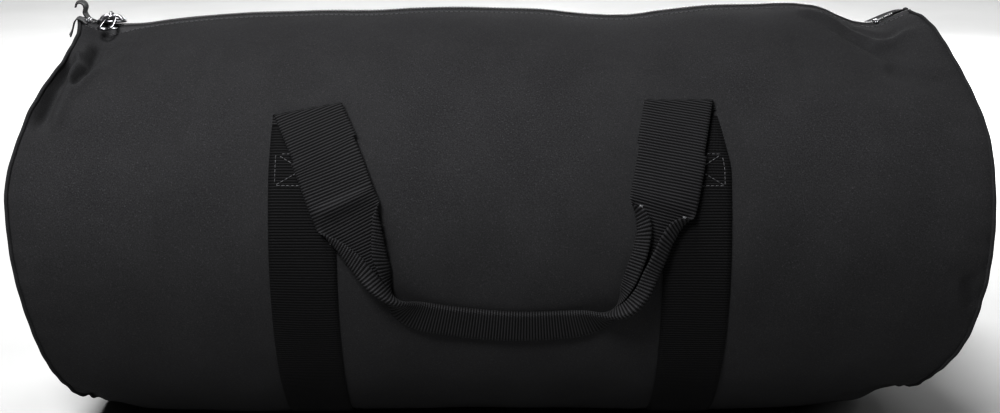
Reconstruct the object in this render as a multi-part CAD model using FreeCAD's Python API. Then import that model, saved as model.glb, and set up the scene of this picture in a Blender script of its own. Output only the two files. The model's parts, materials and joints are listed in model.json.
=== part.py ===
import FreeCAD
import Part
import math
import os

# A barrel duffel bag with a zipper along its top and two handles of flat webbing.
# +X runs along the bag, -Y is its front, and the origin is on the ground under its centre.

# Whole bag
bag_length = 750.0
bag_diameter = 326.0
end_bulge = 9.0
bottom_flattening = 3.0
fabric_wall = 4.0

# Webbing that runs round the bag and makes the handles
webbing_width = 50.8
webbing_thickness = 1.6
strap_offset = 148.0
fold_angle = 43.0
grip_angle = -17.0
grip_half_length = 82.0
grip_thickness = 4.0
grip_overlap = 6.0
grip_slant = 4.0

# Zipper
zip_opening_half = 11.0
zip_start_margin = 20.0
zip_finish_margin = 50.0
lip_start_margin = 75.0
lip_finish_margin = 100.0
lip_angle = 60.0
tape_top_depth = 1.0
tape_thickness = 1.6
coil_inner = 1.1
coil_outer = 4.5
coil_thickness = 3.0
coil_proud = 0.4
joined_length = 13.0
stop_length = 4.0
stop_metal = 1.0
stop_grip = 0.4

# Loose ends of the tape at the left end, as steps in X and Z from their root
tail_inner = 1.0
tail_outer = 13.0
tail_thickness = 0.8
front_tail_turns = [(-5.0, 1.2), (-13.0, 0.6), (-16.5, -9.0)]
back_tail_turns = [(4.0, 7.0), (-2.0, 14.0), (-8.0, 9.0)]

# Slider and its pull
slider_length = 24.0
slider_width = 14.0
slider_plate = 2.0
slider_parking = 5.0
post_start = 1.0
post_length = 7.0
bridge_radius = 1.1
bridge_inset = 3.5
eye_wall = 1.6
eye_width = 3.0
eye_rise = 0.3
neck_length = 1.0
pull_length = 34.0
pull_width = 11.0
pull_thickness = 1.8
pull_rim = 2.2
pull_corner = 2.0

# Piping round both ends
piping_width = 4.0
piping_height = 1.2
piping_lap = 1.0

# Stitching that holds the straps and the folded edges of the handles
thread_width = 1.0
stitch_height = 0.5
stitch_inset = 5.0
box_stitch_low_angle = 22.0
box_stitch_high_angle = 30.5
bartack_angle = 20.0
bartack_length = 10.0
bartack_width = 3.0
bartack_inset = 5.0

# Clearances
moving_gap = 0.4
stitch_gap = 0.3

# Worked out from the sizes above
barrel_radius = bag_diameter / 2
axis_height = webbing_thickness + barrel_radius - bottom_flattening
top_height = axis_height + barrel_radius
panel_half = bag_length / 2 - end_bulge
zip_start = zip_start_margin - bag_length / 2
zip_finish = bag_length / 2 - zip_finish_margin
lip_start = lip_start_margin - bag_length / 2
lip_finish = bag_length / 2 - lip_finish_margin
leg_inner = webbing_thickness + stitch_height + stitch_gap
leg_outer = leg_inner + webbing_thickness
coil_top = top_height - tape_top_depth + coil_proud
coil_bottom = coil_top - coil_thickness
slider_room = joined_length + stop_length + slider_length / 2
slider_x = zip_start + slider_room + slider_parking
slider_travel = zip_finish - slider_room - slider_x
slider_top = coil_top + moving_gap + slider_plate
eye_radius = bridge_radius + moving_gap + eye_wall
bridge_height = slider_top + eye_radius + eye_rise

FRONT = -1
BACK = 1
LEFT = -1
RIGHT = 1


def drum(offset, x_low, x_high):
    # A solid barrel this far outside the fabric, lying on its flattened underside.
    radius = barrel_radius + offset
    start = FreeCAD.Vector(x_low, 0, axis_height)
    barrel = Part.makeCylinder(radius, x_high - x_low, start, FreeCAD.Vector(1, 0, 0))
    corner = FreeCAD.Vector(x_low, -radius, webbing_thickness - offset)
    return barrel.common(Part.makeBox(x_high - x_low, 2 * radius, 2 * radius, corner))


def band(inner, outer, x_low, x_high):
    # The layer between two offsets from the fabric's outer face.
    return drum(outer, x_low, x_high).cut(drum(inner, x_low - 1, x_high + 1))


def box(x_low, x_high, y_low, y_high, z_low, z_high):
    corner = FreeCAD.Vector(x_low, y_low, z_low)
    return Part.makeBox(x_high - x_low, y_high - y_low, z_high - z_low, corner)


def side_box(side, x_low, x_high, y_near, y_far, z_low, z_high):
    # A box between two distances from the middle plane, on the front or the back.
    y_ends = sorted((side * y_near, side * y_far))
    return box(x_low, x_high, y_ends[0], y_ends[1], z_low, z_high)


def prism(points, travel):
    # A polygon through the points, pushed along the travel vector.
    return Part.Face(Part.makePolygon(points + points[:1])).extrude(travel)


def on_barrel(side, angle, offset):
    # Y and Z of a point at an angle above the barrel's axis, on the front or the back.
    radius = barrel_radius + offset
    turn = math.radians(angle)
    return side * radius * math.cos(turn), axis_height + radius * math.sin(turn)


def sector(side, low, high, x_low, x_high):
    # The wedge of the barrel between two angles on one side.
    reach = 2 * barrel_radius
    corners = [(0, axis_height)] + [on_barrel(side, angle, reach) for angle in (low, (low + high) / 2, high)]
    points = [FreeCAD.Vector(x_low, y, z) for y, z in corners]
    return prism(points, FreeCAD.Vector(x_high - x_low, 0, 0))


def side_prism(side, outline):
    # An outline drawn in X and Z, pushed out through one side of the barrel.
    points = [FreeCAD.Vector(x, 0, z) for x, z in outline]
    return prism(points, FreeCAD.Vector(0, side * 2 * barrel_radius, 0))


def body_panel():
    panel = band(-fabric_wall, 0, -panel_half, panel_half)
    for side in (FRONT, BACK):
        panel = panel.cut(sector(side, lip_angle, 90, lip_start - moving_gap, lip_finish + moving_gap))
    high = axis_height + barrel_radius / 2
    return panel.cut(box(zip_start, zip_finish, -zip_opening_half, zip_opening_half, high, top_height + 1))


def end_panel(end):
    sphere_radius = (barrel_radius ** 2 + end_bulge ** 2) / (2 * end_bulge)
    middle = FreeCAD.Vector(end * (panel_half + end_bulge - sphere_radius), 0, axis_height)
    x_ends = sorted((end * panel_half, end * (panel_half + end_bulge)))
    outer = Part.makeSphere(sphere_radius, middle).common(drum(0, x_ends[0], x_ends[1]))
    return outer.cut(Part.makeSphere(sphere_radius - fabric_wall, middle))


def piping(end):
    x_ends = sorted((end * (panel_half - piping_width + piping_lap), end * (panel_half + piping_lap)))
    return band(0, piping_height, x_ends[0], x_ends[1])


def strap(end):
    x_low = end * strap_offset - webbing_width / 2
    loop = band(0, webbing_thickness, x_low, x_low + webbing_width)
    fold_room = math.degrees((webbing_thickness + 2 * moving_gap) / barrel_radius)
    for side in (FRONT, BACK):
        loop = loop.cut(sector(side, fold_angle - fold_room, 90, x_low - 1, x_low + webbing_width + 1))
    return loop


def stitch_line(side, start, stop, thread):
    # One straight row of stitches between two points, as an outline of its own width.
    along_x = stop[0] - start[0]
    along_z = stop[1] - start[1]
    length = math.hypot(along_x, along_z)
    across_x = -along_z / length * thread / 2
    across_z = along_x / length * thread / 2
    corners = [(x + s * across_x, z + s * across_z) for (x, z), s in
               ((start, 1), (start, -1), (stop, -1), (stop, 1))]
    return side_prism(side, corners)


def box_stitch(end, side):
    half = webbing_width / 2 - stitch_inset
    low = on_barrel(side, box_stitch_low_angle, 0)[1]
    high = on_barrel(side, box_stitch_high_angle, 0)[1]
    x_low = end * strap_offset - half
    x_high = end * strap_offset + half
    corners = [(x_low, low), (x_high, low), (x_high, high), (x_low, high)]
    rows = [(0, 1), (1, 2), (2, 3), (3, 0), (0, 2), (1, 3)]
    sewn = [stitch_line(side, corners[a], corners[b], thread_width) for a, b in rows]
    top = webbing_thickness + stitch_height
    layer = band(webbing_thickness, top, x_low - thread_width, x_high + thread_width)
    return sewn[0].multiFuse(sewn[1:]).common(layer)


def lip(side):
    seam = math.degrees(moving_gap / barrel_radius)
    strip = band(-fabric_wall, 0, lip_start, lip_finish)
    strip = strip.common(sector(side, lip_angle + seam, 90, lip_start, lip_finish))
    return strip.cut(side_box(side, lip_start, lip_finish, -1, zip_opening_half, axis_height, top_height + 1))


def tape(side, x_low, x_high):
    layer = band(-tape_top_depth - tape_thickness, -tape_top_depth, x_low, x_high)
    return layer.common(side_box(side, x_low, x_high, coil_outer, zip_opening_half, axis_height, top_height))


def coil(side, x_low, x_high):
    return side_box(side, x_low, x_high, coil_inner, coil_outer, coil_bottom, coil_top)


def zip_edge(end):
    return zip_start if end == LEFT else zip_finish


def lip_edge(end):
    return lip_start if end == LEFT else lip_finish


def zip_end(end):
    # The zipper's last stretch, sewn down on both sides and joined across at its end.
    x_ends = sorted((zip_edge(end), lip_edge(end) + end * moving_gap))
    joined = sorted((zip_edge(end), zip_edge(end) - end * joined_length))
    pieces = [box(joined[0], joined[1], -coil_outer, coil_outer, coil_bottom, coil_top)]
    for side in (FRONT, BACK):
        pieces.append(tape(side, x_ends[0], x_ends[1]))
        pieces.append(coil(side, x_ends[0], x_ends[1]))
    return pieces[0].multiFuse(pieces[1:]).removeSplitter()


def zip_stop(end):
    # A metal staple pressed over both coils, a little short of the joined end.
    far = zip_edge(end) - end * joined_length
    x_ends = sorted((far - end * stop_length, far))
    reach = coil_outer + stop_metal
    stop = box(x_ends[0], x_ends[1], -reach, reach, coil_top, coil_top + stop_metal)
    for side in (FRONT, BACK):
        leg = side_box(side, x_ends[0], x_ends[1], coil_outer, reach, coil_top - stop_grip, coil_top)
        stop = stop.fuse(leg)
    return stop.removeSplitter()


def ribbon(path, y_low, y_high, thickness):
    # A strip that follows arcs in the XZ plane, with its width along Y.
    faces = path.makeOffset2D(thickness, fill=True, openResult=True)
    moved = faces.copy()
    moved.translate(FreeCAD.Vector(0, y_low, 0))
    return moved.extrude(FreeCAD.Vector(0, y_high - y_low, 0))


def tape_tail(side):
    # The loose end of one half of the tape at the left end: the back one curls up, the front one flops over.
    root = FreeCAD.Vector(zip_start, 0, top_height + piping_height + moving_gap + tail_thickness)
    turns = back_tail_turns if side == BACK else front_tail_turns
    points = [root + FreeCAD.Vector(x, 0, z) for x, z in turns]
    bend = Part.Arc(root, points[0], points[1]).toShape()
    tip = Part.LineSegment(points[1], points[2]).toShape()
    path = Part.Wire([bend, tip])
    width = sorted((side * tail_inner, side * tail_outer))
    return ribbon(path, width[0], width[1], tail_thickness)


def slider_plate_outline(z):
    half = slider_length / 2
    wide = slider_width / 2
    corners = [(-half, 0.55 * wide), (-0.4 * half, wide), (0.6 * half, wide), (half, 0.5 * wide)]
    mirrored = [(x, -y) for x, y in reversed(corners)]
    return [FreeCAD.Vector(slider_x + x, y, z) for x, y in corners + mirrored]


def slider_body():
    # Two plates, above and under the coils, joined by the post that parts them.
    lift = FreeCAD.Vector(0, 0, slider_plate)
    bottom = coil_bottom - moving_gap - slider_plate
    upper = prism(slider_plate_outline(slider_top - slider_plate), lift)
    lower = prism(slider_plate_outline(bottom), lift)
    half_post = coil_inner - moving_gap
    post_x = slider_x + post_start
    low = bottom + slider_plate / 2
    high = slider_top - slider_plate / 2
    post = box(post_x, post_x + post_length, -half_post, half_post, low, high)
    return upper.multiFuse([lower, post])


def slider_bridge():
    reach = slider_length / 2 - bridge_inset
    start = FreeCAD.Vector(slider_x - reach, 0, bridge_height)
    bridge = Part.makeCylinder(bridge_radius, 2 * reach, start, FreeCAD.Vector(1, 0, 0))
    for end in (LEFT, RIGHT):
        x = slider_x + end * (reach - bridge_radius)
        x_ends = (x - bridge_radius, x + bridge_radius)
        foot = box(x_ends[0], x_ends[1], -bridge_radius, bridge_radius, slider_top, bridge_height)
        bridge = bridge.fuse(foot)
    return bridge


def pull_tilt():
    # The pull leans down until its tip is just clear of the fabric in front of the zipper.
    fabric_drop = pull_length ** 2 / (2 * barrel_radius)
    fall = bridge_height - top_height + fabric_drop - moving_gap - pull_thickness / 2
    return math.degrees(math.asin(fall / pull_length))


def zip_pull():
    # An open frame on an eye that turns round the bridge, drawn level and then tilted.
    hub = FreeCAD.Vector(slider_x - eye_width / 2, 0, bridge_height)
    along = FreeCAD.Vector(1, 0, 0)
    low = bridge_height - pull_thickness / 2
    high = bridge_height + pull_thickness / 2
    frame_start = -eye_radius - neck_length
    half = pull_width / 2
    frame = box(slider_x - half, slider_x + half, -pull_length, frame_start, low, high)
    corners = [edge for edge in frame.Edges if abs(edge.tangentAt(edge.FirstParameter).z) > 0.9]
    frame = frame.makeFillet(pull_corner, corners)
    window = box(slider_x - half + pull_rim, slider_x + half - pull_rim,
                 -pull_length + pull_rim, frame_start - pull_rim, low - 1, high + 1)
    neck = box(slider_x - eye_width / 2, slider_x + eye_width / 2, frame_start - pull_rim / 2, 0, low, high)
    eye = Part.makeCylinder(eye_radius, eye_width, hub, along)
    bore = Part.makeCylinder(bridge_radius + moving_gap, eye_width + 2, hub - along, along)
    pull = frame.cut(window).multiFuse([neck, eye]).cut(bore)
    pull.rotate(FreeCAD.Vector(slider_x, 0, bridge_height), along, pull_tilt())
    return pull


def leg_corners(side):
    # X and Z of a leg's corners: it is drawn together to half its width between the fold and the grip.
    fold_height = on_barrel(side, fold_angle, leg_inner)[1]
    grip_low = on_barrel(side, grip_angle, leg_outer)[1] - webbing_width / 4
    return {
        "outer_top": (strap_offset + webbing_width / 2, fold_height),
        "inner_top": (strap_offset - webbing_width / 2, fold_height),
        "inner_foot": (grip_half_length - grip_overlap, grip_low + webbing_width / 2),
        "overlap_foot": (grip_half_length - grip_overlap, grip_low),
        "outer_foot": (grip_half_length + webbing_width / 3, grip_low + grip_slant),
    }


def leg_edge(side, edge, height):
    # X of the leg's inner or outer edge at a height.
    corners = leg_corners(side)
    top = corners[edge + "_top"]
    foot = corners[edge + "_foot"]
    return top[0] + (foot[0] - top[0]) * (height - top[1]) / (foot[1] - top[1])


def handle_leg(side, end):
    outline = [(end * x, z) for x, z in leg_corners(side).values()]
    return side_prism(side, outline)


def handle(side):
    # One length of webbing: two legs that hang from their folds, and the doubled grip between them.
    y, fold_height = on_barrel(side, fold_angle, leg_inner)
    reach = strap_offset + webbing_width
    outer = drum(leg_outer, -reach, reach)
    legs = [handle_leg(side, end) for end in (LEFT, RIGHT)]
    webbing = legs[0].fuse(legs[1]).common(outer).cut(drum(leg_inner, -reach - 1, reach + 1))
    grip_middle = on_barrel(side, grip_angle, leg_outer)[1]
    grip = side_box(side, -grip_half_length, grip_half_length, 0, 2 * barrel_radius,
                    grip_middle - webbing_width / 4, grip_middle + webbing_width / 4)
    grip = grip.common(band(leg_inner, leg_inner + grip_thickness, -reach, reach))
    pieces = [grip]
    for end in (LEFT, RIGHT):
        start = FreeCAD.Vector(end * strap_offset - webbing_width / 2, y, fold_height)
        pieces.append(Part.makeCylinder(webbing_thickness + moving_gap, webbing_width, start,
                                        FreeCAD.Vector(1, 0, 0)))
    return webbing.multiFuse(pieces)


def bartacks(side):
    # Short dense stitches where the webbing's edges are folded in, one beside each edge of each leg.
    low = on_barrel(side, bartack_angle, leg_outer)[1]
    high = low + bartack_length
    reach = strap_offset + webbing_width
    layer = band(leg_outer, leg_outer + stitch_height, -reach, reach)
    tacks = []
    for end in (LEFT, RIGHT):
        for edge, inset in (("inner", bartack_inset), ("outer", -bartack_inset)):
            ends = [(end * (leg_edge(side, edge, z) + inset), z) for z in (low, high)]
            tacks.append(stitch_line(side, ends[0], ends[1], bartack_width).common(layer))
    return Part.Compound(tacks)


def build():
    squares = [box_stitch(end, side) for end in (LEFT, RIGHT) for side in (FRONT, BACK)]
    shapes = {
        "body_panel": body_panel(),
        "box_stitches": Part.Compound(squares),
        "slider_body": slider_body(),
        "slider_bridge": slider_bridge(),
        "zip_pull": zip_pull(),
    }
    for name, end in (("left", LEFT), ("right", RIGHT)):
        shapes["end_panel_" + name] = end_panel(end)
        shapes["piping_" + name] = piping(end)
        shapes["strap_" + name] = strap(end)
        shapes["zip_end_" + name] = zip_end(end)
        shapes["zip_stop_" + name] = zip_stop(end)
    for name, side in (("front", FRONT), ("back", BACK)):
        shapes[name + "_lip"] = lip(side)
        shapes[name + "_tape"] = tape(side, lip_start, lip_finish)
        shapes[name + "_coil"] = coil(side, lip_start, lip_finish)
        shapes[name + "_tape_tail"] = tape_tail(side)
        shapes[name + "_handle"] = handle(side)
        shapes[name + "_bartacks"] = bartacks(side)
    return shapes


def report_joints():
    # The hinge lines and travels that the moving pieces use.
    seam = math.degrees(moving_gap / 2 / barrel_radius)
    print("lip hinge y, z:", on_barrel(FRONT, lip_angle + seam, 0))
    print("handle hinge y, z:", on_barrel(FRONT, fold_angle, leg_inner))
    print("slider x, travel back and on:", slider_x, -slider_parking, slider_travel)
    print("pull hinge z and swing:", bridge_height, 180 - 2 * pull_tilt())


os.makedirs("parts", exist_ok=True)
for node, shape in build().items():
    print(node, len(shape.Solids), "solid(s)", round(shape.Volume / 1000, 2), "cm3", shape.isValid())
    shape.exportStep("parts/" + node + ".step")
report_joints()
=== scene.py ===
import bpy
import json
import math
import numpy as np
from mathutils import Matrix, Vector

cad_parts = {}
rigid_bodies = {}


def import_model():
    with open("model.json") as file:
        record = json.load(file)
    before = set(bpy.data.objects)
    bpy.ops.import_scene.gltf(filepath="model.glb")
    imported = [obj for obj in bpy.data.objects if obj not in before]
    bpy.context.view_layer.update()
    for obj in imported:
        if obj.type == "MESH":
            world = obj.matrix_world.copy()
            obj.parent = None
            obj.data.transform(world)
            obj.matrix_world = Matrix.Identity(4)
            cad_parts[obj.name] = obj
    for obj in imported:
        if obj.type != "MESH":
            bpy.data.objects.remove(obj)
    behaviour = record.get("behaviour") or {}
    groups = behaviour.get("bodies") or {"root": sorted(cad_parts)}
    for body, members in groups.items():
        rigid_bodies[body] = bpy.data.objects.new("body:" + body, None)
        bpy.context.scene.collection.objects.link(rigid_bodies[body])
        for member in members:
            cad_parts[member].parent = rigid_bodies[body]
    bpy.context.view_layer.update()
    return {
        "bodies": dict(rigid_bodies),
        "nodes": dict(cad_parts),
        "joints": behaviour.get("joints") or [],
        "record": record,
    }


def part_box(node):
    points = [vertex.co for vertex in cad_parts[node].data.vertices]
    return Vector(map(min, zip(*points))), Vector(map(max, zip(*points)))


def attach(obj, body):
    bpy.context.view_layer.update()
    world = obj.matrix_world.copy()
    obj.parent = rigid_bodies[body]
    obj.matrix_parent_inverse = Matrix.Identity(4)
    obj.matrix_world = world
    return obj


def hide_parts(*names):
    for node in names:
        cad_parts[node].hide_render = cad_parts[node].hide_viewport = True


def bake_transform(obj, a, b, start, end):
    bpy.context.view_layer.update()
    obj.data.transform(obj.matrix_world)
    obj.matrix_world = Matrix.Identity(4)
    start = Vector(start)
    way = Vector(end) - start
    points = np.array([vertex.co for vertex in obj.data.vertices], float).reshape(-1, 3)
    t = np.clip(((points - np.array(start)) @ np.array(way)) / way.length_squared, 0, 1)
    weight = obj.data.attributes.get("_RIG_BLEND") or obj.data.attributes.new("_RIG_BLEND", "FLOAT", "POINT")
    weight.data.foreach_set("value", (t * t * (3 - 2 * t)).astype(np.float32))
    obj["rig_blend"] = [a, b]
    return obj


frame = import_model()
print("frame loaded:", len(frame["nodes"]), "nodes")

# shared sizes, metres
panelLow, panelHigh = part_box("body_panel")
strapLow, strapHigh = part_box("strap_left")
sliderLow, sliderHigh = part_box("slider_body")
coilLow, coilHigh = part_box("front_coil")

bag = {
    "radius": (panelHigh.y - panelLow.y) / 2,
    "floor": panelLow.z,
    "top": panelHigh.z,
    "cloth": 0.0016,
    "halfLength": panelHigh.x,
    "zipEdge": 0.0095,
    "endBlend": 0.15,
}
axisHeight = bag["top"] - bag["radius"]
strapOffset = -(strapLow.x + strapHigh.x) / 2
webbingWidth = strapHigh.x - strapLow.x
zipMiddleZ = (coilLow.z + coilHigh.z) / 2
sliderX = (sliderLow.x + sliderHigh.x) / 2


# small mesh and curve helpers
def smoothStep(low, high, value):
    # 3t^2 - 2t^3, with t going from 0 at low to 1 at high
    t = np.clip((value - low) / (high - low), 0, 1)
    return t * t * (3 - 2 * t)


def unit(v):
    return v / np.maximum(np.linalg.norm(v, axis=-1, keepdims=True), 1e-12)


def throughPoints(knots, values, at):
    # Catmull-Rom: cubic Hermite pieces whose slope at each knot joins its two neighbours
    knots = np.asarray(knots, float)
    values = np.asarray(values, float)
    at = np.asarray(at, float)
    if values.ndim == 1:
        return throughPoints(knots, values[:, None], at)[..., 0]
    slope = np.gradient(values, knots, axis=0)
    k = np.clip(np.searchsorted(knots, at, side="right") - 1, 0, len(knots) - 2)
    width = (knots[k + 1] - knots[k])[..., None]
    t = np.clip((at - knots[k])[..., None] / width, 0, 1)
    return ((2 * t**3 - 3 * t**2 + 1) * values[k] + (t**3 - 2 * t**2 + t) * width * slope[k]
            + (3 * t**2 - 2 * t**3) * values[k + 1] + (t**3 - t**2) * width * slope[k + 1])


def gridFaces(rows, columns, closeRows=False, closeColumns=False, start=0):
    # quads of a grid whose point (i, j) is number start + i * columns + j
    i = np.arange(rows if closeRows else rows - 1)
    j = np.arange(columns if closeColumns else columns - 1)
    i, j = np.meshgrid(i, j, indexing="ij")
    nextI = (i + 1) % rows
    nextJ = (j + 1) % columns
    quads = np.stack([i * columns + j, nextI * columns + j, nextI * columns + nextJ, i * columns + nextJ], -1)
    return start + quads.reshape(-1, 4)


def endCaps(rows, around, start=0):
    # the two faces that close a tube of so many rings
    first = np.arange(around) + start
    return [first[::-1], first + (rows - 1) * around]


def sideName(side):
    return "front" if side < 0 else "back"


def makePiece(name, points, quads, material, uv=None, smooth=True, extra=()):
    # one mesh from whole arrays; extra is a list of n-sided faces such as end caps
    mesh = bpy.data.meshes.new(name)
    faces = list(map(tuple, np.asarray(quads).tolist())) + [tuple(int(k) for k in f) for f in extra]
    mesh.from_pydata(np.asarray(points, float).reshape(-1, 3).tolist(), [], faces)
    if uv is not None:
        layer = mesh.uv_layers.new(name="clothUV")
        corner = np.empty(len(mesh.loops), np.int32)
        mesh.loops.foreach_get("vertex_index", corner)
        layer.data.foreach_set("uv", np.asarray(uv, np.float32).reshape(-1, 2)[corner].ravel())
    mesh.polygons.foreach_set("use_smooth", np.full(len(mesh.polygons), smooth))
    mesh.materials.append(material)
    mesh.validate()
    piece = bpy.data.objects.new(name, mesh)
    bpy.context.scene.collection.objects.link(piece)
    return piece


def faceOutward(piece):
    # turns the whole shell round if its signed volume is negative
    mesh = piece.data
    mesh.calc_loop_triangles()
    tri = np.empty(len(mesh.loop_triangles) * 3, np.int32)
    mesh.loop_triangles.foreach_get("vertices", tri)
    co = np.empty(len(mesh.vertices) * 3, np.float32)
    mesh.vertices.foreach_get("co", co)
    a, b, c = co.reshape(-1, 3)[tri.reshape(-1, 3)].astype(float).transpose(1, 0, 2)
    if np.einsum("ij,ij->i", a, np.cross(b, c)).sum() < 0:
        mesh.flip_normals()
    return piece


def tubeAlong(path, radius, sides, closed=True):
    # a ring of points of this radius round every point of a path, on axes that turn with it
    step = np.roll(path, -1, 0) - np.roll(path, 1, 0)
    if not closed:
        step = np.gradient(path, axis=0)
    tangent = unit(step)
    across = unit(np.cross(tangent, [1.0, 0.02, 0.03]))
    other = np.cross(tangent, across)
    turn = np.linspace(0, 2 * np.pi, sides, endpoint=False)
    ring = across[:, None] * np.cos(turn)[None, :, None] + other[:, None] * np.sin(turn)[None, :, None]
    return path[:, None] + ring * np.broadcast_to(radius, len(path))[:, None, None]


# materials
def nodeTools(name):
    material = bpy.data.materials.new(name)
    material.use_nodes = True
    tree = material.node_tree
    shader = next(n for n in tree.nodes if n.type == "BSDF_PRINCIPLED")

    def add(kind, **settings):
        node = tree.nodes.new(kind)
        for key, value in settings.items():
            if key in node.inputs:
                node.inputs[key].default_value = value
            else:
                setattr(node, key, value)
        return node

    def math2(operation, a, b=None):
        node = tree.nodes.new("ShaderNodeMath")
        node.operation = operation
        for socket, value in zip(node.inputs, (a, b)):
            if value is None:
                continue
            if isinstance(value, (int, float)):
                socket.default_value = value
            else:
                tree.links.new(value, socket)
        return node.outputs[0]

    def noise(scale, detail, roughness=0.5, vector=None):
        node = add("ShaderNodeTexNoise", Scale=scale, Detail=detail, Roughness=roughness)
        tree.links.new(vector or place.outputs["Object"], node.inputs["Vector"])
        return node.outputs[0]

    def roughen(value, low, high):
        spread = add("ShaderNodeMapRange")
        spread.inputs["To Min"].default_value = low
        spread.inputs["To Max"].default_value = high
        tree.links.new(value, spread.inputs["Value"])
        tree.links.new(spread.outputs[0], shader.inputs["Roughness"])

    def relief(height, distance, strength, under=None):
        bump = add("ShaderNodeBump", Distance=distance, Strength=strength)
        tree.links.new(height, bump.inputs["Height"])
        if under is not None:
            tree.links.new(under, bump.inputs["Normal"])
        return bump.outputs[0]

    place = add("ShaderNodeTexCoord")
    return material, tree, shader, add, math2, noise, roughen, relief


def colourRamp(tree, add, factor, stops):
    ramp = add("ShaderNodeValToRGB")
    elements = ramp.color_ramp.elements
    elements[0].position, elements[0].color = stops[0][0], (*stops[0][1], 1)
    elements[1].position, elements[1].color = stops[-1][0], (*stops[-1][1], 1)
    for place, colour in stops[1:-1]:
        middle = elements.new(place)
        middle.color = (*colour, 1)
    tree.links.new(factor, ramp.inputs[0])
    return ramp.outputs[0]


canvasLook = {
    "dark": (0.0270, 0.0270, 0.0283),
    "light": (0.0580, 0.0580, 0.0602),
    "lint": (0.085, 0.085, 0.088),
    "threadPitch": 0.00058,
    "roughness": 0.86,
    "sheen": 0.02,
    "weaveBump": 0.55,
    "weaveDepth": 0.00025,
    "creaseBump": 0.18,
    "creaseDepth": 0.0012,
    "creaseScale": 34.0,
    "wobble": 0.0003,
    "wobbleScale": 420.0,
    "patchScale": 26.0,
    "fleckScale": 1100.0,
    # the weave share is painted shade: the part of the tone that darkens the gaps between the threads
    "weaveShadeShare": 0.30,
    "patchShare": 0.18,
    "fleckShare": 0.50,
    "specular": 0.06,
}


def canvasMaterial(name, look):
    # plain weave: over-and-under threads are the product of two sines, on the cloth's own UV in metres
    material, tree, shader, add, math2, noise, roughen, relief = nodeTools(name)
    cloth = add("ShaderNodeUVMap", uv_map="clothUV")
    split = add("ShaderNodeSeparateXYZ")
    tree.links.new(cloth.outputs[0], split.inputs[0])
    wobble = math2("MULTIPLY", noise(look["wobbleScale"], 2.0, vector=cloth.outputs[0]), look["wobble"])
    turns = math.pi / look["threadPitch"]
    u = math2("MULTIPLY", math2("ADD", split.outputs[0], wobble), turns)
    v = math2("MULTIPLY", math2("ADD", split.outputs[1], wobble), turns)
    height = math2("ABSOLUTE", math2("MULTIPLY", math2("SINE", u), math2("SINE", v)))
    patch = noise(look["patchScale"], 4.0, 0.6)
    fleck = noise(look["fleckScale"], 2.0)
    # painted shade: the tone follows the weave height, darker between the raised threads; the patch and fleck
    # noise add random tone
    tone = math2("ADD", math2("MULTIPLY", height, look["weaveShadeShare"]),
                 math2("MULTIPLY", patch, look["patchShare"]))
    tone = math2("ADD", tone, math2("MULTIPLY", fleck, look["fleckShare"]))
    base = colourRamp(tree, add, tone, [(0.25, look["dark"]), (0.70, look["light"])])
    lint = colourRamp(tree, add, fleck, [(0.64, (0, 0, 0)), (0.86, (1, 1, 1))])
    mix = add("ShaderNodeMix", data_type="RGBA")
    tree.links.new(lint, mix.inputs["Factor"])
    tree.links.new(base, mix.inputs["A"])
    mix.inputs["B"].default_value = (*look["lint"], 1)
    tree.links.new(mix.outputs["Result"], shader.inputs["Base Color"])
    roughen(patch, look["roughness"] - 0.06, look["roughness"] + 0.06)
    wide = relief(noise(look["creaseScale"], 3.0, 0.55), look["creaseDepth"], look["creaseBump"])
    tree.links.new(relief(height, look["weaveDepth"], look["weaveBump"], wide), shader.inputs["Normal"])
    shader.inputs["Sheen Weight"].default_value = look["sheen"]
    shader.inputs["Sheen Roughness"].default_value = 0.55
    shader.inputs["Specular IOR Level"].default_value = look["specular"]
    return material


webbingLook = {
    # valley is the painted shade colour of the rib valleys, crown the painted highlight colour of the rib
    # crowns
    "valley": (0.004, 0.004, 0.0044),
    "crown": (0.047, 0.047, 0.0490),
    "yarnPitch": 0.0011,
    "roughness": 0.6,
    "sheen": 0.02,
    "yarnBump": 0.6,
    "yarnDepth": 0.0002,
    "fuzzScale": 900.0,
    "patchScale": 60.0,
    "ribShadeShare": 0.32,
    "ribLevel": 0.42,
    "yarnShadeShare": 0.08,
    "patchShare": 0.14,
    "specular": 0.10,
}


def webbingMaterial(name, look, ribPitch):
    # painted shade and highlight: the crowns of the ribs are painted lighter and their valleys painted
    # darker, following the rib relief, and each rib is packed yarns side by side, painted darker in the
    # grooves between them
    material, tree, shader, add, math2, noise, roughen, relief = nodeTools(name)
    cloth = add("ShaderNodeUVMap", uv_map="clothUV")
    split = add("ShaderNodeSeparateXYZ")
    tree.links.new(cloth.outputs[0], split.inputs[0])
    rib = math2("COSINE", math2("MULTIPLY", split.outputs[0], 2 * math.pi / ribPitch))
    slant = math2("ADD", math2("MULTIPLY", split.outputs[1], 2 * math.pi / look["yarnPitch"]),
                  math2("MULTIPLY", split.outputs[0], math.pi / ribPitch))
    yarn = math2("SINE", slant)
    fuzz = noise(look["fuzzScale"], 2.0)
    patch = noise(look["patchScale"], 3.0)
    # painted shade: the tone follows the rib and yarn relief, darker in the valleys and grooves, lighter on
    # the crowns; the patch noise adds random tone
    tone = math2("ADD", math2("ADD", math2("MULTIPLY", rib, look["ribShadeShare"]), look["ribLevel"]),
                 math2("ADD", math2("MULTIPLY", yarn, look["yarnShadeShare"]),
                       math2("MULTIPLY", patch, look["patchShare"])))
    base = colourRamp(tree, add, tone, [(0.15, look["valley"]), (0.85, look["crown"])])
    tree.links.new(base, shader.inputs["Base Color"])
    height = math2("ADD", math2("MULTIPLY", yarn, 0.5), math2("MULTIPLY", fuzz, 0.6))
    tree.links.new(relief(height, look["yarnDepth"], look["yarnBump"]), shader.inputs["Normal"])
    roughen(patch, look["roughness"] - 0.08, look["roughness"] + 0.1)
    shader.inputs["Sheen Weight"].default_value = look["sheen"]
    shader.inputs["Sheen Roughness"].default_value = 0.5
    shader.inputs["Specular IOR Level"].default_value = look["specular"]
    return material


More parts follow.
